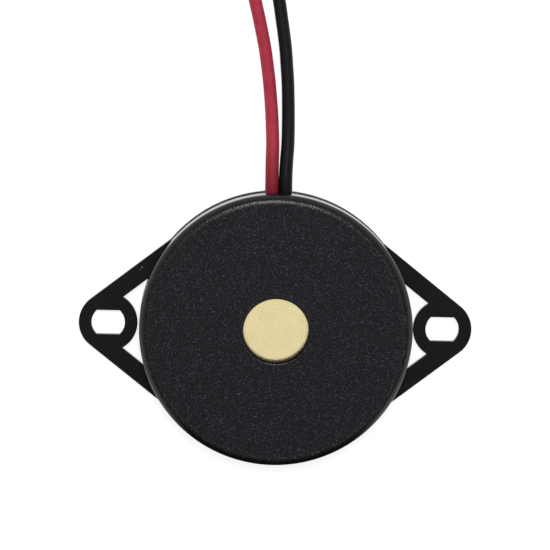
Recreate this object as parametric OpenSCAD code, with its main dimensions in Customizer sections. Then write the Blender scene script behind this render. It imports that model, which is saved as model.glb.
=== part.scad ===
// Enclosed piezo buzzer: a round moulded case with a central sound hole,
// carried on a thin base plate with two open triangular ears, and two leads.
// It lies on its back: z = 0 is the back face and +Z is the side that sounds.
// The ears point along X and the leads leave along +Y.

/* [Sounding element] */
// Diameter of the brass diaphragm
brass_d = 27; // [26:0.5:30]
// Thickness of the brass diaphragm
brass_t = 0.25; // [0.2:0.05:0.3]
// Diameter of the ceramic disc behind the brass
ceramic_d = 20; // [16:0.5:20.5]
// Thickness of the ceramic disc
ceramic_t = 0.23; // [0.15:0.01:0.25]
// Margin of bare ceramic round the fired silver electrode
silver_margin = 0.5; // [0.3:0.1:1]
// Thickness of the fired silver electrode
silver_t = 0.03; // [0.02:0.01:0.05]

/* [Case] */
// Height over everything, from back face to front face
total_h = 5; // [4.8:0.1:7]
// Clearance round the edge of the diaphragm
brass_gap = 0.4; // [0.3:0.05:0.6]
// Thickness of the case's side wall
wall_t = 1.1; // [0.9:0.1:1.5]
// Thickness of the front wall round the sound hole
face_t = 1; // [0.8:0.1:1.2]
// Radius of the rounded front edge
edge_r = 0.9; // [0.5:0.1:1]
// Diameter of the sound hole
hole_d = 7.2; // [5:0.1:12]
// Bevel round the mouth of the sound hole
hole_bevel = 0.12; // [0.05:0.01:0.3]
// Depth of the shallow chamber between front wall and diaphragm
chamber_h = 0.5; // [0.3:0.1:0.6]
// Width by which the ledge overlaps the edge of the brass
ledge_w = 1.1; // [0.6:0.1:1.5]
// Width of the glue bead that holds the brass to the ledge
bead_w = 0.5; // [0.3:0.1:0.8]

/* [Base plate and ears] */
// How far the plate's rim stands out beyond the case wall
plate_lip = 0.05; // [0:0.05:0.5]
// Thickness of the plate and of its ears
plate_t = 0.8; // [0.6:0.1:1]
// Outside diameter of each ear's boss ring
boss_d = 6.5; // [5.5:0.1:8]
// Slit between each boss ring and the plate's rim
boss_gap = 0.2; // [0.1:0.05:2]
// Length of each double-D mounting hole, along the line of the ears
slot_l = 3.75; // [3:0.05:4]
// Width of each mounting hole across its two flats
slot_w = 2.9; // [2.4:0.1:3]
// Width of the two straps that carry each boss
strap_w = 2; // [1.5:0.05:3]
// How far the straps' outer edges pass inside the plate's rim
strap_inset = 0.4; // [0.1:0.1:1.5]
// Height of the locating ring that enters the case
ring_h = 0.9; // [0.5:0.1:1.2]
// Thickness of the locating ring
ring_t = 0.8; // [0.6:0.1:1]
// Clearance between the locating ring and the case wall
ring_gap = 0.1; // [0.05:0.05:0.2]

/* [Leads] */
// Diameter over the insulation of each lead
lead_d = 1.4; // [1.1:0.05:1.45]
// Distance between the two leads where they pass the wall
lead_pitch = 1.5; // [1.45:0.05:2]
// Clearance of the notch round the leads
notch_gap = 0.05; // [0.03:0.01:0.15]
// Diameter of the stranded conductor
core_d = 0.6; // [0.4:0.05:0.7]
// Diameter of each solder joint
solder_d = 2; // [1.4:0.1:2.2]
// Height of each solder joint
solder_h = 0.6; // [0.4:0.05:0.7]
// Bare electrode left between its edge and the red lead's solder joint
joint_margin = 1.9; // [0.5:0.1:3]

/* [Stored leads] */
// Radius of the outer turn of each lead's coil
coil_r = 8.2; // [7:0.1:10]
// Distance between neighbouring turns
turn_pitch = 1.45; // [1.45:0.05:1.8]
// Number of turns in each coil
coil_turns = 1.2; // [1:0.05:1.5]
// Bend radius of the free end inside the coil
curl_r = 3.2; // [2.8:0.1:4]
// Length of the stripped and tinned end
tip_l = 4.5; // [3:0.5:6]

/* [Hidden] */
$fn = 96;
over = 1;
snug = 0.05;

// Radii, from the diaphragm outwards.
brass_r = brass_d / 2;
ceramic_r = ceramic_d / 2;
silver_r = ceramic_r - silver_margin;
ledge_r = brass_r - ledge_w;
bore_r = brass_r + brass_gap;
case_r = bore_r + wall_t;
plate_r = case_r + plate_lip;
boss_r = boss_d / 2;
ear_x = plate_r + boss_gap + boss_r;
// The straps' outer edges are tangent to the boss and pass strap_inset inside the rim.
strap_angle = asin((plate_r - strap_inset - boss_r) / ear_x);
strap_l = ear_x * cos(strap_angle);

// Heights, from the front face down.
face_z = total_h - face_t;
ledge_z = face_z - chamber_h;
brass_z = ledge_z - brass_t;
ceramic_z = brass_z - ceramic_t;
silver_z = ceramic_z - silver_t;

// The leads lie on the base plate where they pass the wall, and on the table outside.
lead_r = lead_d / 2;
lead_z = plate_t + notch_gap + lead_r;
notch_r = lead_r + notch_gap;
notch_x = lead_pitch / 2;
core_r = core_d / 2;
red_joint_r = silver_r - joint_margin - solder_d / 2;
black_joint_r = (ceramic_r + brass_r - bead_w) / 2;

// Each coil is wound inwards from the lane on which its lead arrives.
coil_y = case_r + 32.4;
red_lane = -4.4;
black_lane = -1.2;
last_turn_r = coil_r - turn_pitch * coil_turns;
curl_offset = last_turn_r - curl_r;
curl_start = 360 * coil_turns;
// Angle round the curl at which the lead has left the wound turns.
clear_r = last_turn_r - 2 * lead_r - snug;
clear_angle = acos((clear_r * clear_r - curl_offset * curl_offset - curl_r * curl_r)
    / (2 * curl_offset * curl_r));
end_sweep = 26;
tip_sweep = tip_l / curl_r * 180 / PI;

case_black = "#232124";
satin_black = "#1d1c1f";
pale_brass = "#d9c896";
ceramic_white = "#e6e0d2";
silver_grey = "#c9ccce";
clear_glue = "#d8d2bd";
lead_red = "#b02c42";

// The route of each lead, from inside the case to where it meets its coil. Its
// second number is the distance from the outside of the case wall.
function from_wall(points) = [for (p = points) p + [0, case_r, 0]];
red_route = from_wall([
    [-notch_x, -3.8, lead_z], [-notch_x, -1.9, lead_z], [-notch_x, 0, lead_z],
    [-0.75, 1.6, 1.5], [-0.8, 3.4, 1.25], [-0.85, 5.1, 0.95], [-0.9, 6.9, 0.75],
    [-1, 8.6, lead_r], [-1.15, 10.4, lead_r], [-1.35, 12.1, lead_r],
    [-1.6, 13.8, lead_r], [-1.9, 15.6, lead_r], [-2.2, 17.3, lead_r],
    [-2.65, 19, lead_r], [-3.1, 20.7, lead_r], [-3.5, 22.6, lead_r],
    [-3.85, 24.6, lead_r], [-4.1, 26.4, lead_r], [-4.2, 27.4, lead_r]
]);
black_route = from_wall([
    [notch_x, -1.6, lead_z], [notch_x, 0, lead_z],
    [0.8, 1.6, 1.5], [0.8, 3.4, 1.25], [0.85, 5.1, 0.95], [0.85, 6.9, 0.75],
    [0.8, 8.6, lead_r], [0.75, 10.4, lead_r], [0.65, 12.1, lead_r],
    [0.5, 13.8, lead_r], [0.35, 15.6, lead_r], [0.1, 17.3, lead_r],
    [-0.15, 19, lead_r], [-0.5, 20.8, lead_r], [-0.8, 22.6, lead_r],
    [-1, 24.6, lead_r], [-1.15, 26.4, lead_r], [-1.2, 27.4, lead_r]
]);

// ---- Case ----

// Half section of the case's outside: a side wall with a rounded front edge.
module case_outline() {
    wall_h = total_h - plate_t;
    translate([0, plate_t]) square([case_r, wall_h - edge_r]);
    translate([0, plate_t]) square([case_r - edge_r, wall_h]);
    translate([case_r - edge_r, total_h - edge_r]) circle(r = edge_r);
}

// The opening for both leads: an arch over each one, side by side.
module lead_notch() {
    translate([0, case_r + over, 0]) rotate([90, 0, 0])
    linear_extrude(height = case_r - bore_r + 2 * over) {
        for (x = [-notch_x, notch_x]) translate([x, lead_z]) circle(r = notch_r);
        translate([-notch_x, lead_z]) square([2 * notch_x, notch_r]);
        translate([-notch_x - notch_r, plate_t - over])
            square([2 * (notch_x + notch_r), lead_z - plate_t + over]);
    }
}

module front_case() {
    color(case_black)
    difference() {
        rotate_extrude() case_outline();
        translate([0, 0, plate_t - over]) cylinder(r = bore_r, h = ledge_z - plate_t + over);
        cylinder(r = ledge_r, h = face_z);
        cylinder(d = hole_d, h = total_h + over);
        translate([0, 0, total_h - hole_bevel])
            cylinder(d1 = hole_d, d2 = hole_d + 4 * hole_bevel, h = 2 * hole_bevel);
        lead_notch();
    }
}

// ---- Base plate ----

// One ear: a boss ring held by two straps that run back into the plate.
module ear_outline() {
    translate([ear_x, 0]) circle(r = boss_r);
    for (side = [0, 1]) mirror([0, side])
        translate([ear_x, 0]) rotate(-strap_angle)
        translate([-strap_l, boss_r - strap_w]) square([strap_l, strap_w]);
}

// A round hole with two flats, which stops the screw's collar from turning.
module mounting_hole() {
    translate([ear_x, 0]) intersection() {
        circle(d = slot_l);
        square([slot_l + over, slot_w], center = true);
    }
}

module locating_ring() {
    outer = bore_r - ring_gap;
    difference() {
        cylinder(r = outer, h = plate_t + ring_h);
        translate([0, 0, plate_t]) cylinder(r = outer - ring_t, h = ring_h + over);
        translate([-notch_x - notch_r - ring_gap, 0, plate_t])
            cube([2 * (notch_x + notch_r + ring_gap), case_r, ring_h + over]);
    }
}

module base_plate() {
    color(satin_black) {
        linear_extrude(height = plate_t) difference() {
            union() {
                circle(r = plate_r);
                for (side = [0, 1]) mirror([side, 0]) ear_outline();
            }
            for (side = [0, 1]) mirror([side, 0]) mounting_hole();
        }
        locating_ring();
    }
}

// ---- Sounding element ----

module brass_diaphragm() {
    color(pale_brass)
    translate([0, 0, brass_z]) cylinder(r = brass_r, h = brass_t);
}

module ceramic_disc() {
    color(ceramic_white)
    translate([0, 0, ceramic_z]) cylinder(r = ceramic_r, h = ceramic_t);
}

module silver_electrode() {
    color(silver_grey)
    translate([0, 0, silver_z]) cylinder(r = silver_r, h = silver_t);
}

// The bead fills the gap round the brass and laps over the back of its edge.
module edge_glue() {
    color(clear_glue)
    rotate_extrude() polygon([
        [brass_r - bead_w, brass_z], [brass_r, brass_z], [brass_r, ledge_z],
        [bore_r, ledge_z], [bore_r, brass_z - bead_w - brass_gap]
    ]);
}

// ---- Leads inside the case ----

// Axis of a bare conductor, from the end of its insulation up into its joint.
function red_joint() = [-notch_x, sqrt(red_joint_r * red_joint_r - notch_x * notch_x), silver_z];
function black_joint() = [notch_x, sqrt(black_joint_r * black_joint_r - notch_x * notch_x), brass_z];

module conductor(from, joint) {
    to = joint - [0, 0, core_r + snug];
    start = from - [0, core_r, 0];
    run = to - start;
    translate(start) rotate([acos(run[2] / norm(run)), 0, 0])
        cylinder(r = core_r, h = norm(run), $fn = 24);
}

// A cap of solder that hangs from the metal above it and wets the conductor.
module solder_joint(joint) {
    pad_r = solder_d / 2;
    ball_r = (pad_r * pad_r + solder_h * solder_h) / (2 * solder_h);
    translate(joint) intersection() {
        translate([0, 0, ball_r - solder_h]) sphere(r = ball_r);
        translate([0, 0, -solder_h - over]) cylinder(r = solder_d, h = solder_h + over);
    }
}

module red_core() {
    color(silver_grey) conductor(red_route[0], red_joint());
}

module black_core() {
    color(silver_grey) conductor(black_route[0], black_joint());
}

module red_solder() {
    color(silver_grey) difference() {
        solder_joint(red_joint());
        conductor(red_route[0], red_joint());
    }
}

module black_solder() {
    color(silver_grey) difference() {
        solder_joint(black_joint());
        conductor(black_route[0], black_joint());
    }
}

// ---- Leads outside ----

function unit(v) = v / norm(v);
// Direction of a route at point i, halfway between the stretches that meet there.
function heading(route, i) = unit(
    route[min(i + 1, len(route) - 1)] - route[max(i - 1, 0)]);
function ring_at(route, r, i, sides) =
    let (
        ahead = heading(route, i),
        across = unit(cross(ahead, [0, 0, 1])),
        up = cross(across, ahead)
    )
    [for (k = [0:sides - 1])
        let (a = 360 * (k + 0.5) / sides)
        route[i] + r * cos(a) * across + r * sin(a) * up];

// A tube of insulation along a route, closed at both ends.
module tube(route, r) {
    sides = 8;
    rings = len(route);
    points = [for (i = [0:rings - 1]) each ring_at(route, r, i, sides)];
    walls = [
        for (i = [0:rings - 2]) for (k = [0:sides - 1])
            let (a = i * sides + k, b = i * sides + (k + 1) % sides)
            [a, b, b + sides, a + sides]
    ];
    near_cap = [for (k = [sides - 1:-1:0]) k];
    far_cap = [for (k = [0:sides - 1]) (rings - 1) * sides + k];
    polyhedron(points = points, faces = concat(walls, [near_cap, far_cap]), convexity = 6);
}

module red_lead() {
    color(lead_red) tube(red_route, lead_r);
}

module black_lead() {
    color(satin_black) tube(black_route, lead_r);
}

// Puts a coil, wound anticlockwise about its own centre, at the end of a lead.
module at_red_coil() {
    translate([red_lane - coil_r, coil_y, lead_r]) children();
}

module at_black_coil() {
    translate([black_lane + coil_r, coil_y, lead_r]) mirror([1, 0, 0]) children();
}

// The ring of space that the flat turns fill.
module wound_turns() {
    rotate_extrude() {
        for (r = [last_turn_r, coil_r]) translate([r, 0]) circle(r = lead_r);
        translate([last_turn_r, -lead_r]) square([coil_r - last_turn_r, lead_d]);
    }
}

// A length of the curl inside the coil, between two angles round the curl.
module curl_piece(from, sweep, r) {
    rotate(curl_start) translate([curl_offset, 0, 0]) rotate(from)
        rotate_extrude(angle = sweep) translate([curl_r, 0]) circle(r = r, $fn = 32);
}

module red_coil() {
    color(lead_red) at_red_coil() wound_turns();
}

module black_coil() {
    color(satin_black) at_black_coil() wound_turns();
}

module red_end() {
    color(lead_red) at_red_coil() curl_piece(clear_angle, end_sweep, lead_r);
}

module black_end() {
    color(satin_black) at_black_coil() curl_piece(clear_angle, end_sweep, lead_r);
}

module red_tip() {
    color(silver_grey) at_red_coil()
        curl_piece(clear_angle + end_sweep, tip_sweep, core_r);
}

module black_tip() {
    color(silver_grey) at_black_coil()
        curl_piece(clear_angle + end_sweep, tip_sweep, core_r);
}

front_case();
base_plate();
brass_diaphragm();
ceramic_disc();
silver_electrode();
edge_glue();
red_solder();
black_solder();
red_core();
black_core();
red_lead();
black_lead();
red_coil();
black_coil();
red_end();
black_end();
red_tip();
black_tip();
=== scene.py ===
import math

import bmesh
import bpy
from mathutils import Matrix, Vector


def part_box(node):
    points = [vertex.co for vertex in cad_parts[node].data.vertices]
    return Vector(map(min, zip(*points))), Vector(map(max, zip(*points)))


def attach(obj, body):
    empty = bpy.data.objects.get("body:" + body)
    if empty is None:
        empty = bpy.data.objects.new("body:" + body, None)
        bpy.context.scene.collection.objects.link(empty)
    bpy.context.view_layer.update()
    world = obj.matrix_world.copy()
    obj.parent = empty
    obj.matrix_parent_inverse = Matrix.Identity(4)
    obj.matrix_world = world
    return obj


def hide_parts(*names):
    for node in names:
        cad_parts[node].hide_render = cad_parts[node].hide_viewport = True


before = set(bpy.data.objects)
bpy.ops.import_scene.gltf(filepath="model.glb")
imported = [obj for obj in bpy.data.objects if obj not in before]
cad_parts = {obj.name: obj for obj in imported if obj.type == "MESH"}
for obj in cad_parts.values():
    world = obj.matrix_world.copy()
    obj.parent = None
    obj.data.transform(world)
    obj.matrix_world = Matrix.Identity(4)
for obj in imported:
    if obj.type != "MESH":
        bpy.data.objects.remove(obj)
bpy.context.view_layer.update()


# ---- Camera ----
# A long lens looks down on the face of the buzzer as it lies on the table. It
# stands a little towards the leads and a little to the left, and hangs nearly level.

MM = 0.001
camera_distance = 312 * MM
lean_to_leads = math.radians(7.96)
lean_to_left = math.radians(1.25)
camera_roll = math.radians(1.42)
aim_right = -0.027 * MM
aim_up = 5.515 * MM

towards_camera = Vector((
    -math.sin(lean_to_left) * math.cos(lean_to_leads),
    math.sin(lean_to_leads),
    math.cos(lean_to_left) * math.cos(lean_to_leads),
))
level = Vector((0, 1, 0)).cross(towards_camera).normalized()
upright = towards_camera.cross(level)
picture_right = level * math.cos(camera_roll) + upright * math.sin(camera_roll)
picture_up = upright * math.cos(camera_roll) - level * math.sin(camera_roll)

lens = bpy.data.cameras.new("camera")
lens.sensor_width = 36
lens.lens = 183.99
lens.clip_start = 0.01
lens.clip_end = 10
camera = bpy.data.objects.new("camera", lens)
bpy.context.scene.collection.objects.link(camera)
turn = Matrix((picture_right, picture_up, towards_camera)).transposed().to_4x4()
stand = towards_camera * camera_distance + picture_right * aim_right + picture_up * aim_up
camera.matrix_world = Matrix.Translation(stand) @ turn
bpy.context.scene.camera = camera


# ---- Insulated leads ----
# Two lengths of stranded hook-up wire in soft vinyl, one red and one black. They
# come out side by side through the notch in the case wall, bend down on to the
# table and end in a flat loose coil each.

case_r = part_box("front_case")[1].x
lead_r = 0.7 * MM
# Each point of a route is its place across, its distance out from the case wall and
# its height, in mm. Some lie beside the solids' own route, by up to 0.09 mm.
red_route = [
    (-0.76, -3.8, 1.55), (-0.76, -1.9, 1.55), (-0.76, 0, 1.55),
    (-0.78, 1.6, 1.5), (-0.8, 3.4, 1.25), (-0.79, 5.1, 0.95), (-0.87, 6.9, 0.75),
    (-0.98, 8.6, 0.7), (-1.15, 10.4, 0.7), (-1.34, 12.1, 0.7), (-1.58, 13.8, 0.7),
    (-1.87, 15.6, 0.7), (-2.23, 17.3, 0.7), (-2.62, 19, 0.7), (-3.04, 20.7, 0.7),
    (-3.5, 22.6, 0.7), (-3.85, 24.6, 0.7), (-4.1, 26.4, 0.7), (-4.2, 27.4, 0.7),
]
black_route = [
    (0.72, -1.6, 1.55), (0.72, 0, 1.55),
    (0.71, 1.6, 1.5), (0.77, 3.4, 1.25), (0.87, 5.1, 0.95), (0.88, 6.9, 0.75),
    (0.85, 8.6, 0.7), (0.79, 10.4, 0.7), (0.7, 12.1, 0.7), (0.55, 13.8, 0.7),
    (0.38, 15.6, 0.7), (0.14, 17.3, 0.7), (-0.14, 19, 0.7), (-0.44, 20.8, 0.7),
    (-0.8, 22.6, 0.7), (-1, 24.6, 0.7), (-1.15, 26.4, 0.7), (-1.2, 27.4, 0.7),
]
coil_from_wall = 32.4 * MM
coil_r = 8.2 * MM
turn_pitch = 1.45 * MM
coil_turns = 1.2
curl_r = 3.2 * MM
red_lane = -4.4 * MM
black_lane = -1.2 * MM
# Angle along the curl, in degrees, at which the vinyl has been stripped back.
insulation_ends = 104.3
# At the case wall a lead is thicker by this share, which is gone after swelling_l.
# The next length is how far out from the wall its colour carries painted shade from the case.
swelling = 0.07
swelling_l = 11 * MM
painted_shade_reach = 7 * MM

coil_end = 360 * coil_turns
last_turn_r = coil_r - turn_pitch * coil_turns
curl_offset = last_turn_r - curl_r


class Value:
    """A socket's value inside a material, so that shader maths reads as plain sums."""

    def __init__(self, paint, socket):
        self.paint = paint
        self.socket = socket

    def maths(self, operation, *inputs):
        return self.paint.node("Math", {"operation": operation}, dict(enumerate(inputs)))

    def __add__(self, other):
        return self.maths("ADD", self, other)

    def __sub__(self, other):
        return self.maths("SUBTRACT", self, other)

    def __rsub__(self, other):
        return self.maths("SUBTRACT", other, self)

    def __mul__(self, other):
        return self.maths("MULTIPLY", self, other)

    def __truediv__(self, other):
        return self.maths("DIVIDE", self, other)

    def __pow__(self, other):
        return self.maths("POWER", self, other)

    __radd__ = __add__
    __rmul__ = __mul__


class Paint:
    """The nodes of one material, or of the world, put together one by one."""

    def __init__(self, owner):
        owner.use_nodes = True
        self.owner = owner
        self.tree = owner.node_tree
        self.tree.nodes.clear()

    def node(self, kind, settings, sockets, output=0):
        """Adds a node with its settings, then its sockets, and gives one output's value."""
        made = self.tree.nodes.new("ShaderNode" + kind)
        for name, setting in settings.items():
            setattr(made, name, setting)
        for name, given in sockets.items():
            if isinstance(given, Value):
                self.tree.links.new(given.socket, made.inputs[name])
            else:
                made.inputs[name].default_value = given
        return Value(self, made.outputs[output]) if made.outputs else None

    def place(self, stretch=(1, 1, 1)):
        """The point on the piece, in metres, stretched along its axes."""
        point = self.node("TexCoord", {}, {}, "Object")
        return self.node("VectorMath", {"operation": "MULTIPLY"}, {0: point, 1: stretch})

    def noise(self, size, detail=2, stretch=(1, 1, 1)):
        """Soft random values round 0.5, in blotches of that size in metres."""
        sockets = {"Vector": self.place(stretch), "Scale": 1 / size, "Detail": detail}
        return self.node("TexNoise", {}, sockets)

    def ramp(self, value, start, end, low=0, high=1):
        """Turns value into low at start and high at end, smoothly between."""
        sockets = {0: value, 1: start, 2: end, 3: low, 4: high}
        return self.node("MapRange", {"interpolation_type": "SMOOTHSTEP"}, sockets)

    def blend(self, share, one, other):
        """The colour one where share is 0, and the colour other where it is 1."""
        return self.node("Mix", {"data_type": "RGBA"}, {0: share, 6: one, 7: other}, 2)

    def surface(self, sockets):
        """Ends the material in one principled surface, and gives the material."""
        shader = self.node("BsdfPrincipled", {}, sockets)
        self.node("OutputMaterial", {}, {"Surface": shader})
        return self.owner


def vinyl(name, light, dark, painted_shade_colour):
    """Soft extruded insulation: satin, with fine draw lines, and painted shade near the case.
    """
    paint = Paint(bpy.data.materials.new(name))
    blotches = paint.ramp(paint.noise(1.5 * MM, 3), 0.3, 0.7)
    flecks = paint.ramp(paint.noise(0.11 * MM, 2), 0.35, 0.65)
    from_case = paint.node("SeparateXYZ", {}, {"Vector": paint.place()}, "Y") - case_r
    # Painted shade: the colour darkens towards the case wall, which shades the lead.
    painted_shade_mask = paint.ramp(from_case, -0.5 * MM, painted_shade_reach, 1, 0)
    draw_lines = paint.noise(0.12 * MM, 2, (1, 0.08, 1))
    grain = paint.noise(0.07 * MM, 2)
    height = draw_lines * 0.6 + grain * 0.4
    clean = paint.blend(0.3 * blotches + 0.7 * flecks, light, dark)
    return paint.surface({
        "Base Color": paint.blend(painted_shade_mask, clean, painted_shade_colour),
        "Roughness": paint.ramp(grain, 0.3, 0.7, 0.44, 0.58),
        "Specular IOR Level": 0.16,
        "Normal": paint.node("Bump", {}, {"Height": height, "Distance": 0.012 * MM}),
    })


def from_wall(route):
    """The points of a route in metres; the second number counts from the case wall."""
    return [Vector((x * MM, case_r + y * MM, z * MM)) for x, y, z in route]


def from_coil_centre(lane, hand, x, y):
    """hand is 1 for the coil wound anticlockwise, and -1 for its mirror image."""
    return Vector((lane + hand * (x - coil_r), case_r + coil_from_wall + y, lead_r))


def on_coil(lane, hand, angle):
    radius = coil_r - turn_pitch * angle / 360
    along = math.radians(angle)
    return from_coil_centre(lane, hand, radius * math.cos(along), radius * math.sin(along))


def on_curl(lane, hand, angle):
    end = math.radians(coil_end)
    along = math.radians(coil_end + angle)
    x = curl_offset * math.cos(end) + curl_r * math.cos(along)
    y = curl_offset * math.sin(end) + curl_r * math.sin(along)
    return from_coil_centre(lane, hand, x, y)


def lead_line(route, lane, hand):
    """The whole centreline of a lead's insulation."""
    coil_step = 18
    curl_steps = 6
    coil = [on_coil(lane, hand, angle) for angle in range(0, round(coil_end) + 1, coil_step)]
    curl = [
        on_curl(lane, hand, insulation_ends * i / curl_steps)
        for i in range(1, curl_steps + 1)
    ]
    return from_wall(route) + coil + curl


def add_piece(name, data, paints, slot, *nodes):
    """Puts a mesh or curve on the buzzer, painted, in place of these CAD nodes."""
    piece = bpy.data.objects.new(name, data)
    bpy.context.scene.collection.objects.link(piece)
    for paint in paints:
        data.materials.append(paint)
    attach(piece, "root")
    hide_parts(*nodes)
    return piece


def insulation(points):
    """A round tube through the points, with cut ends, a little thicker towards the case."""
    curve = bpy.data.curves.new("insulation", "CURVE")
    curve.dimensions = "3D"
    curve.resolution_u = 6
    curve.bevel_depth = lead_r
    curve.bevel_resolution = 7
    curve.use_fill_caps = True
    spline = curve.splines.new("BEZIER")
    spline.bezier_points.add(len(points) - 1)
    for knot, point in zip(spline.bezier_points, points):
        knot.co = point
        knot.radius = 1 + swelling * max(0, 1 - (point.y - case_r) / swelling_l)
        knot.handle_left_type = knot.handle_right_type = "AUTO"
    return curve


# Each lead's third colour is its painted shade near the case wall.
red_vinyl = vinyl(
    "red_vinyl", (0.540, 0.043, 0.080, 1), (0.330, 0.024, 0.047, 1),
    (0.22, 0.014, 0.026, 1),
)
black_vinyl = vinyl(
    "black_vinyl", (0.0086, 0.0074, 0.0104, 1), (0.0022, 0.0018, 0.0030, 1),
    (0.0018, 0.0016, 0.0022, 1),
)
red_insulation = add_piece(
    "red_insulation", insulation(lead_line(red_route, red_lane, 1)), [red_vinyl],
    "red_insulation", "red_lead", "red_coil", "red_end",
)
black_insulation = add_piece(
    "black_insulation", insulation(lead_line(black_route, black_lane, -1)), [black_vinyl],
    "black_insulation", "black_lead", "black_coil", "black_end",
)


# ---- Stripped ends and conductors ----
# Under the vinyl each lead is seven thin copper strands, tinned and twisted
# together. They show at the stripped ends, and inside the case up to the solder.

strand_r = 0.1 * MM
strand_lay = 5 * MM
# Angle along the curl, in degrees, at which the bare strands end.
tip_ends = 184.9
tip_step = 2.5


def add_strand(mesh, path, orbit, phase):
    """One round strand that winds round path at distance orbit."""
    sides = 8
    rings = []
    for i, point in enumerate(path):
        ahead = (path[min(i + 1, len(path) - 1)] - path[max(i - 1, 0)]).normalized()
        across = ahead.cross(Vector((0, 0, 1))).normalized()
        upward = across.cross(ahead)
        length_so_far = (path[1] - path[0]).length * i
        turn = phase + 2 * math.pi * length_so_far / strand_lay
        middle = point + (across * math.cos(turn) + upward * math.sin(turn)) * orbit
        corners = [2 * math.pi * k / sides for k in range(sides)]
        rings.append([
            mesh.verts.new(middle + (across * math.cos(a) + upward * math.sin(a)) * strand_r)
            for a in corners
        ])
    for near, far in zip(rings, rings[1:]):
        for k in range(sides):
            after = (k + 1) % sides
            mesh.faces.new((near[k], near[after], far[after], far[k]))
    mesh.faces.new(rings[0][::-1])
    mesh.faces.new(rings[-1])


def strand_bundle(name, path):
    mesh = bmesh.new()
    add_strand(mesh, path, 0, 0)
    for k in range(6):
        add_strand(mesh, path, 2 * strand_r, math.radians(60 * k))
    bmesh.ops.recalc_face_normals(mesh, faces=mesh.faces)
    for face in mesh.faces:
        face.smooth = len(face.verts) == 4
    data = bpy.data.meshes.new(name)
    mesh.to_mesh(data)
    mesh.free()
    return data


def bright_metal(name, colour, roughness, grain_size, depth):
    paint = Paint(bpy.data.materials.new(name))
    grain = paint.noise(grain_size, 3)
    return paint.surface({
        "Base Color": colour,
        "Metallic": 1,
        "Roughness": paint.ramp(grain, 0.3, 0.7, roughness * 0.8, roughness * 1.25),
        "Normal": paint.node("Bump", {}, {"Height": grain, "Distance": depth}),
    })


def dress(node, paint):
    """Gives a CAD node a better material."""
    for material_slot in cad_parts[node].material_slots:
        material_slot.material = paint


tinned = bright_metal("tinned_copper", (0.66, 0.66, 0.65, 1), 0.32, 0.06 * MM, 0.004 * MM)
solder = bright_metal("solder", (0.62, 0.63, 0.64, 1), 0.22, 0.3 * MM, 0.02 * MM)

for name, lane, hand in (("red_tip", red_lane, 1), ("black_tip", black_lane, -1)):
    count = round((tip_ends - insulation_ends) / tip_step)
    path = [
        on_curl(lane, hand, insulation_ends + (tip_ends - insulation_ends) * i / count)
        for i in range(count + 1)
    ]
    add_piece(
        name + "_strands", strand_bundle(name, path), [tinned], "tinned_copper", name
    )

for node in ("red_core", "black_core"):
    dress(node, tinned)
for node in ("red_solder", "black_solder"):
    dress(node, solder)


# ---- Sounding element ----
# A round of pale rolled brass carries a thin ceramic disc behind it, which is
# silvered on its back and soldered to the red lead. A bead of silicone holds the
# brass to a ledge in the case, and only the middle of its front shows.


def rolled_brass():
    paint = Paint(bpy.data.materials.new("rolled_brass"))
    stain = paint.noise(1.6 * MM, 3)
    grain = paint.noise(0.10 * MM, 1)
    shade = paint.ramp(0.2 * stain + 0.8 * grain, 0.35, 0.65)
    return paint.surface({
        "Base Color": paint.blend(shade, (0.79, 0.69, 0.395, 1), (0.62, 0.53, 0.285, 1)),
        "Metallic": 1,
        "Roughness": paint.ramp(grain, 0.3, 0.7, 0.15, 0.23),
        "Normal": paint.node("Bump", {}, {"Height": grain, "Distance": 0.003 * MM}),
    })


def matt(name, light, dark, roughness, grain_size, depth):
    paint = Paint(bpy.data.materials.new(name))
    grain = paint.noise(grain_size, 3)
    return paint.surface({
        "Base Color": paint.blend(paint.ramp(grain, 0.3, 0.7), light, dark),
        "Roughness": paint.ramp(grain, 0.3, 0.7, roughness * 0.85, roughness * 1.1),
        "Normal": paint.node("Bump", {}, {"Height": grain, "Distance": depth}),
    })


ceramic = matt(
    "sintered_ceramic", (0.76, 0.70, 0.58, 1), (0.70, 0.63, 0.50, 1), 0.6, 0.08 * MM, 0.01 * MM
)
glue = matt(
    "silicone_bead", (0.62, 0.60, 0.52, 1), (0.56, 0.54, 0.45, 1), 0.35, 0.6 * MM, 0.03 * MM
)
silver = bright_metal("fired_silver", (0.80, 0.80, 0.78, 1), 0.55, 0.05 * MM, 0.01 * MM)
dress("brass_diaphragm", rolled_brass())
dress("ceramic_disc", ceramic)
dress("silver_electrode", silver)
dress("edge_glue", glue)


# ---- Base plate ----
# One flat moulding in black plastic closes the back. Two open ears carry a boss
# ring each, on two straps that run tangent to the boss, and a low ring on its
# inside centres it in the case.

plate_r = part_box("base_plate")[1].y / MM
plate_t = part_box("front_case")[0].z / MM
ear_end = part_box("base_plate")[1].x / MM
ring_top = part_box("base_plate")[1].z / MM
boss_r = 3.25
strap_w = 2
strap_inset = 0.4
# The mounting holes are drawn tighter than in the solid.
slot_r = 1.84
slot_half_w = 1.34
ring_outer = 13.8
ring_t = 0.8
ring_sunk = 0.1
ring_gap_half = 1.6
rim_round = 0.05
opening_round = 0.09
bottom_round = 0.03

ear_x = ear_end - boss_r
# Direction, from the centre of the boss, of the point where a strap touches it.
touch = math.degrees(math.acos((plate_r - strap_inset - boss_r) / ear_x))


def arc(centre, radius, start, end, step=3):
    """Points of a round stretch between two angles in degrees, with both ends."""
    count = max(2, round(abs(end - start) / step))
    angles = [math.radians(start + (end - start) * i / count) for i in range(count + 1)]
    x, y = centre
    return [(x + radius * math.cos(a), y + radius * math.sin(a)) for a in angles]


def mirrored(outline):
    """The same outline on the left ear, still going round the same way."""
    return [(-x, y) for x, y in reversed(outline)]


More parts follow.
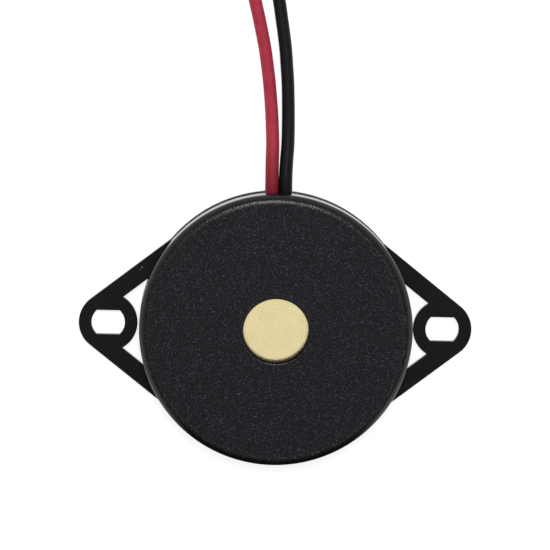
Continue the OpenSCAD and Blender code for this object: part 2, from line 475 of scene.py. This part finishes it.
def plate_outline():
    """The plate's outer edge, anticlockwise from the right-hand boss."""
    spread = math.degrees(math.acos((plate_r - strap_inset) / plate_r))
    joint = touch - spread
    right_boss = arc((ear_x, 0), boss_r, -touch, touch)
    upper_rim = arc((0, 0), plate_r, joint, 180 - joint, 2)
    left_boss = arc((-ear_x, 0), boss_r, 180 - touch, 180 + touch)
    lower_rim = arc((0, 0), plate_r, 180 + joint, 360 - joint, 2)
    return right_boss + upper_rim + left_boss + lower_rim


def ear_opening():
    """The gap between the rim, the two straps and the boss of the right ear."""
    inner = boss_r - strap_w
    inner_edge = plate_r - strap_inset - strap_w
    at_rim = touch - math.degrees(math.acos(inner_edge / plate_r))
    at_boss = touch + 90 - math.degrees(math.asin(inner / boss_r))
    boss_side = arc((ear_x, 0), boss_r, 360 - at_boss, at_boss)
    rim_side = arc((0, 0), plate_r, at_rim, -at_rim)
    return boss_side + rim_side


def mounting_hole():
    """A round hole with two flats."""
    flat = math.degrees(math.asin(slot_half_w / slot_r))
    return (
        arc((ear_x, 0), slot_r, -flat, flat)
        + arc((ear_x, 0), slot_r, 180 - flat, 180 + flat)
    )


def moved_in(outline, distance):
    """The outline moved sideways into the material on its left."""
    result = []
    for i, point in enumerate(outline):
        here = Vector(point)
        before = (here - Vector(outline[i - 1])).normalized()
        after = (Vector(outline[(i + 1) % len(outline)]) - here).normalized()
        left_before = Vector((-before.y, before.x))
        left_after = Vector((-after.y, after.x))
        mitre = (left_before + left_after) / (1 + left_before.dot(left_after))
        result.append(here + mitre * distance)
    return result


def add_wall(mesh, outline, top_round):
    """The edge of the plate along one outline, rounded at top and bottom."""
    quarter = [math.radians(a) for a in (0, 22.5, 45, 67.5, 90)]
    levels = [
        (bottom_round * (1 - math.sin(a)), bottom_round * (1 - math.cos(a)))
        for a in quarter
    ]
    levels += [
        (top_round * (1 - math.cos(a)), plate_t - top_round * (1 - math.sin(a)))
        for a in quarter
    ]
    rings = [
        [mesh.verts.new((*point, height)) for point in moved_in(outline, inset)]
        for inset, height in levels
    ]
    count = len(outline)
    for low, high in zip(rings, rings[1:]):
        for i in range(count):
            after = (i + 1) % count
            mesh.faces.new((low[i], low[after], high[after], high[i]))
    return rings[0], rings[-1]


def add_flat(mesh, rings):
    """Fills the flat face between an outline and the holes in it."""
    edges = []
    for ring in rings:
        for i, corner in enumerate(ring):
            edges.append(mesh.edges.get((corner, ring[(i + 1) % len(ring)])))
    bmesh.ops.triangle_fill(mesh, use_beauty=True, edges=edges)


def lathe(mesh, outline, start=0, sweep=360, steps=240):
    """Turns a closed outline of radius and height about Z."""
    closed = sweep == 360
    rings = []
    for i in range(steps if closed else steps + 1):
        a = math.radians(start + sweep * i / steps)
        rings.append([
            mesh.verts.new((radius * math.cos(a), radius * math.sin(a), height))
            for radius, height in outline
        ])
    count = len(outline)
    for i in range(steps):
        near, far = rings[i], rings[(i + 1) % len(rings)]
        for k in range(count):
            after = (k + 1) % count
            mesh.faces.new((near[k], far[k], far[after], near[after]))
    if not closed:
        mesh.faces.new(rings[0])
        mesh.faces.new(rings[-1][::-1])


def shaded(mesh):
    """Flat faces stay flat, round ones are smooth, and corners and finishes end sharply."""
    corner = math.radians(30)
    bmesh.ops.recalc_face_normals(mesh, faces=mesh.faces)
    for face in mesh.faces:
        face.smooth = abs(face.normal.z) < 0.9999
    for edge in mesh.edges:
        finishes = {face.material_index for face in edge.link_faces}
        bend = edge.calc_face_angle(0) if len(edge.link_faces) == 2 else corner
        edge.smooth = bend < corner and len(finishes) == 1


def in_metres(name, mesh):
    """Ends a mesh that was made in millimetres."""
    shaded(mesh)
    mesh.transform(Matrix.Scale(MM, 4))
    data = bpy.data.meshes.new(name)
    mesh.to_mesh(data)
    mesh.free()
    return data


def plate_mesh():
    mesh = bmesh.new()
    holes = [ear_opening(), mounting_hole()]
    holes += [mirrored(hole) for hole in holes]
    walls = [add_wall(mesh, plate_outline(), rim_round)]
    walls += [add_wall(mesh, list(reversed(hole)), opening_round) for hole in holes]
    for rings in zip(*walls):
        add_flat(mesh, rings)
    gap = math.degrees(math.asin(ring_gap_half / ring_outer))
    ring = [
        (ring_outer - ring_t, plate_t - ring_sunk), (ring_outer, plate_t - ring_sunk),
        (ring_outer, ring_top), (ring_outer - ring_t, ring_top),
    ]
    lathe(mesh, ring, 90 + gap, 360 - 2 * gap)
    matt_flat, polished_edge = range(2)
    for face in mesh.faces:
        face.normal_update()
        upright = abs(face.normal.z) < 0.5
        face.material_index = polished_edge if upright else matt_flat
    return in_metres("base_plate", mesh)


def black_plastic(name, light, dark, roughness, specular, grain_size, depth):
    """Black moulded plastic with an even fine grain."""
    paint = Paint(bpy.data.materials.new(name))
    grain = paint.noise(grain_size, 2)
    blotches = paint.ramp(paint.noise(2.5 * MM, 2), 0.3, 0.7)
    flecks = paint.ramp(grain, 0.35, 0.65)
    return paint.surface({
        "Base Color": paint.blend(0.4 * blotches + 0.6 * flecks, light, dark),
        "Roughness": paint.ramp(grain, 0.3, 0.7, roughness * 0.9, roughness * 1.1),
        "Specular IOR Level": specular,
        "Normal": paint.node("Bump", {}, {"Height": grain, "Distance": depth}),
    })


matt_black = black_plastic(
    "matt_black_plastic", (0.0068, 0.0052, 0.0074, 1), (0.0020, 0.0012, 0.0024, 1),
    0.5, 0.12, 0.09 * MM, 0.006 * MM,
)
polished_black = black_plastic(
    "polished_black_plastic", (0.0046, 0.0040, 0.0048, 1), (0.0040, 0.0036, 0.0042, 1),
    0.11, 0.36, 0.8 * MM, 0.008 * MM,
)
add_piece(
    "plate_moulding", plate_mesh(), [matt_black, polished_black], "plate_plastic", "base_plate"
)


# Two light specks of dust lie on the strap of the left-hand ear. Each is given by its
# place and its radius, and is a lumpy ball, flattened and partly sunk in the plate.
dust_lump = 0.18
dust_flatness = 0.6
dust_rise = 0.3
dust_places = [(-14.85, 6.23, 0.07), (-15.03, 5.97, 0.055)]


def dust_mesh():
    mesh = bmesh.new()
    for i, (x, y, radius) in enumerate(dust_places):
        made = bmesh.ops.create_icosphere(mesh, subdivisions=3, radius=radius)
        for vert in made["verts"]:
            wave = math.sin(9 * vert.co.x / radius + i) * math.cos(3 * vert.co.y / radius)
            lump = 1 + dust_lump * wave
            squashed = Vector((vert.co.x * lump, vert.co.y, vert.co.z * dust_flatness))
            vert.co = squashed + Vector((x, y, plate_t + dust_rise * radius))
    return in_metres("dust", mesh)


add_piece(
    "dust_specks", dust_mesh(),
    [matt("dust", (0.30, 0.29, 0.28, 1), (0.20, 0.19, 0.19, 1), 0.9, 0.03 * MM, 0.01 * MM)],
    "plate_plastic",
)


# ---- Front case ----
# A cup moulded in one piece in black plastic: side wall, rounded front edge and
# front wall with the sound hole. It is spark-textured as far as the top of the
# rounded edge, dull in the hole and polished elsewhere. A notch lets the leads out.

case_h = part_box("front_case")[1].z / MM
outer_r = case_r / MM
bore_r = 13.9
ledge_r = 12.4
ledge_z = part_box("brass_diaphragm")[1].z / MM
face_under = 4.0
# The front edge: radius at which it starts, then how wide each stretch is, and the
# slopes between which it turns.
front_r = 14.02
edge_stretches = [(0.42, 0, 20), (0.45, 34, 51), (0.11, 51, 90)]
# What lies no deeper than this below the front belongs to it, and not to the inside.
front_depth = 0.12
hole_r = 3.6
# How wide the sloping mouth of the hole is, and how steep it gets.
mouth_slope = (0.13, 24)
foot_round = 0.03
notch_x = 0.75
notch_r = 0.75
notch_z = 1.55


def front_edge():
    """Section of the rounded edge, from the front outwards and down to the wall."""
    steps = 6
    radius, height = front_r, case_h
    section = [(radius, height)]
    for width, start, end in edge_stretches:
        start, end = math.radians(start), math.radians(end)
        bend = width / (math.sin(end) - math.sin(start))
        for i in range(1, steps + 1):
            slope = start + (end - start) * i / steps
            section.append((
                radius + bend * (math.sin(slope) - math.sin(start)),
                height - bend * (math.cos(start) - math.cos(slope)),
            ))
        radius, height = section[-1]
    return section


def hole_mouth():
    """Section of the hole's edge: the front slopes down to it a little."""
    steps = 4
    width, end = mouth_slope[0], math.radians(mouth_slope[1])
    bend = width / math.sin(end)
    slopes = [end * (1 - i / steps) for i in range(steps + 1)]
    return [
        (hole_r + width - bend * math.sin(a), case_h - bend * (1 - math.cos(a)))
        for a in slopes
    ]


def case_profile():
    """Half section of the cup, from the top of the hole's wall outwards."""
    mouth = hole_mouth()
    foot = arc((outer_r - foot_round, plate_t + foot_round), foot_round, 0, -90, 22.5)
    inside = [
        (bore_r, plate_t), (bore_r, ledge_z), (ledge_r, ledge_z),
        (ledge_r, face_under), (hole_r, face_under),
    ]
    return mouth + front_edge() + foot + inside


def cutter(outline, near, far):
    """A solid of that outline, x across and z up, between two places along Y."""
    mesh = bmesh.new()
    ends = [[mesh.verts.new((x, y, z)) for x, z in outline] for y in (near, far)]
    count = len(outline)
    for i in range(count):
        after = (i + 1) % count
        mesh.faces.new((ends[0][i], ends[0][after], ends[1][after], ends[1][i]))
    mesh.faces.new(ends[0][::-1])
    mesh.faces.new(ends[1])
    bmesh.ops.recalc_face_normals(mesh, faces=mesh.faces)
    data = bpy.data.meshes.new("cutter")
    mesh.to_mesh(data)
    mesh.free()
    return bpy.data.objects.new("cutter", data)


def case_mesh():
    mesh = bmesh.new()
    lathe(mesh, case_profile(), steps=288)
    bmesh.ops.recalc_face_normals(mesh, faces=mesh.faces)
    blank = bpy.data.meshes.new("case_blank")
    mesh.to_mesh(blank)
    mesh.free()
    cup = bpy.data.objects.new("case_blank", blank)
    overshoot = 1
    below = plate_t - overshoot
    notch = cutter(
        [(-notch_x - notch_r, below), (notch_x + notch_r, below)]
        + arc((notch_x, notch_z), notch_r, 0, 90, step=9)
        + arc((-notch_x, notch_z), notch_r, 90, 180, step=9),
        bore_r - overshoot, outer_r + overshoot,
    )
    for made in (cup, notch):
        bpy.context.scene.collection.objects.link(made)
    cut = cup.modifiers.new("notch", "BOOLEAN")
    cut.operation = "DIFFERENCE"
    cut.solver = "EXACT"
    cut.object = notch
    shown = cup.evaluated_get(bpy.context.evaluated_depsgraph_get())
    mesh = bmesh.new()
    mesh.from_mesh(shown.data)
    for made in (cup, notch):
        bpy.data.objects.remove(made)
    textured, frosted, dull, polished = range(4)
    texture_end = front_r + edge_stretches[0][0]
    hole_wall = hole_r + 0.01
    for face in mesh.faces:
        centre = face.calc_center_median()
        radius = centre.xy.length
        on_top = centre.z > case_h - front_depth
        if on_top and hole_r + mouth_slope[0] < radius < front_r:
            face.material_index = textured
        elif on_top and hole_wall < radius < texture_end:
            face.material_index = frosted
        elif radius < hole_wall:
            face.material_index = dull
        else:
            face.material_index = polished
    return in_metres("front_case", mesh)


def spark_textured_black(name, cell, dark, light, rarity, glint, roughness, gloss):
    """Black plastic from a spark-eroded mould: tiny craters, of which a few glitter; the
    glints are painted as light flecks in the colour.
    """
    paint = Paint(bpy.data.materials.new(name))
    point = paint.node("TexCoord", {}, {}, "Object")
    craters = {"Vector": point, "Scale": 1 / cell}
    chance = paint.node("TexVoronoi", {}, craters, "Color")
    glitter = paint.node("SeparateColor", {}, {"Color": chance}, "Red") ** rarity
    relief = paint.noise(0.2 * MM, 2)
    return paint.surface({
        # Painted glints: the rare flecks take the light colour in place of craters catching
        # the light; where glint is above 0 they are also partly metal.
        "Base Color": paint.blend(glitter, dark, light),
        "Metallic": glitter * glint,
        "Roughness": roughness,
        "Specular IOR Level": gloss,
        "Normal": paint.node("Bump", {}, {"Height": relief, "Distance": 0.03 * MM}),
    })


# The light colour of each finish is its painted glint.
face_texture = spark_textured_black(
    "spark_textured_black", 0.048 * MM, (0.0046, 0.0039, 0.0061, 1), (0.200, 0.190, 0.232, 1),
    34, 0, 0.42, 0.14,
)
edge_texture = spark_textured_black(
    "frosted_black", 0.08 * MM, (0.0026, 0.0021, 0.0030, 1), (0.11, 0.106, 0.122, 1),
    16, 0.5, 0.23, 0.25,
)
dull_black = black_plastic(
    "dull_black_plastic", (0.0050, 0.0044, 0.0052, 1), (0.0040, 0.0036, 0.0042, 1),
    0.7, 0.0, 0.1 * MM, 0.006 * MM,
)
add_piece(
    "case_moulding", case_mesh(), [face_texture, edge_texture, dull_black, polished_black],
    "case_plastic", "front_case",
)


# ---- Table ----
# A wide sheet of smooth white board under the buzzer. The camera sees it evenly white,
# with only the soft shadow on it. For everything else its near side is dark, so that
# it sends little light back there and the polished wall doesn't mirror it.

board_half = 3.0
board_z = -0.02 * MM
# The near side goes from light to dark between these two. They are sines of the
# bearing, which is -1 straight towards the near side.
dark_starts = -0.62
dark_full = -0.85


def white_board():
    paint = Paint(bpy.data.materials.new("white_board"))
    seen = [
        paint.node("LightPath", {}, {}, ray)
        for ray in ("Is Camera Ray", "Is Glossy Ray", "Is Transmission Ray")
    ]
    x = paint.node("SeparateXYZ", {}, {"Vector": paint.place()}, "X")
    y = paint.node("SeparateXYZ", {}, {"Vector": paint.place()}, "Y")
    bearing = y / (x * x + y * y) ** 0.5
    far_side = paint.ramp(bearing, dark_full, dark_starts)
    white, grey = (0.8, 0.8, 0.8, 1), (0.05, 0.05, 0.05, 1)
    board = paint.node("BsdfDiffuse", {}, {"Color": paint.blend(far_side, grey, white)})
    lit = paint.node("BsdfDiffuse", {}, {"Color": (0.45, 0.45, 0.45, 1)})
    glow = paint.node("Emission", {}, {"Color": (1, 1, 1, 1), "Strength": 0.75})
    both = paint.node("AddShader", {}, {0: lit, 1: glow})
    shows = seen[0] + (seen[1] + seen[2]) * far_side
    shader = paint.node("MixShader", {}, {0: shows, 1: board, 2: both})
    paint.node("OutputMaterial", {}, {"Surface": shader})
    return paint.owner


board = bpy.data.meshes.new("table")
corners = [
    (-board_half, -board_half), (board_half, -board_half),
    (board_half, board_half), (-board_half, board_half),
]
board.from_pydata([(x, y, board_z) for x, y in corners], [], [(0, 1, 2, 3)])
board.materials.append(white_board())
table = bpy.data.objects.new("table", board)
bpy.context.scene.collection.objects.link(table)


# ---- Light ----
# A bright soft box above the leads' side, a wide dimmer panel overhead, and studio
# walls that are pale all round but for the near side, white at the table's edge.


def soft_box(name, place, width, depth, brightness):
    """A lamp that shines evenly from a flat panel and faces the buzzer."""
    lamp = bpy.data.lights.new(name, "AREA")
    lamp.shape = "RECTANGLE"
    lamp.size = width
    lamp.size_y = depth
    lamp.energy = brightness * math.pi * width * depth
    made = bpy.data.objects.new(name, lamp)
    made.location = place
    made.rotation_mode = "QUATERNION"
    made.rotation_quaternion = Vector(place).to_track_quat("Z", "Y")
    bpy.context.scene.collection.objects.link(made)
    made.visible_camera = False


# Strengths of the walls, of what the dark side loses and of the ceiling. The sines of
# the heights between which the ceiling begins, and the white low band ends.
wall_light = 0.58
near_side_loss = 0.52
ceiling_light = 0.42
ceiling_begins = (0.60, 0.70)
low_band_ends = (0.11, 0.16)


def studio_walls():
    paint = Paint(bpy.data.worlds.new("studio"))
    direction = paint.node("TexCoord", {}, {}, "Generated")
    y = paint.node("SeparateXYZ", {}, {"Vector": direction}, "Y")
    z = paint.node("SeparateXYZ", {}, {"Vector": direction}, "Z")
    bearing = y / (1 - z * z) ** 0.5
    near_side = paint.ramp(bearing, dark_starts, dark_full)
    overhead = paint.ramp(z, *ceiling_begins)
    wall = wall_light - near_side_loss * near_side
    upper = wall + overhead * (ceiling_light - wall)
    low = paint.ramp(z, *low_band_ends, 1, 0) * (1 - near_side)
    strength = upper + low * (1 - upper)
    sky = paint.node("Background", {}, {"Color": (1, 1, 1, 1), "Strength": strength})
    paint.node("OutputWorld", {}, {"Surface": sky})
    return paint.owner


soft_box("soft_box", (0, 0.262, 0.649), 0.20, 0.24, 13)
soft_box("overhead_panel", (0.06, -0.10, 0.69), 0.36, 0.36, 0.66)
bpy.context.scene.world = studio_walls()
bpy.context.scene.view_settings.view_transform = "Standard"
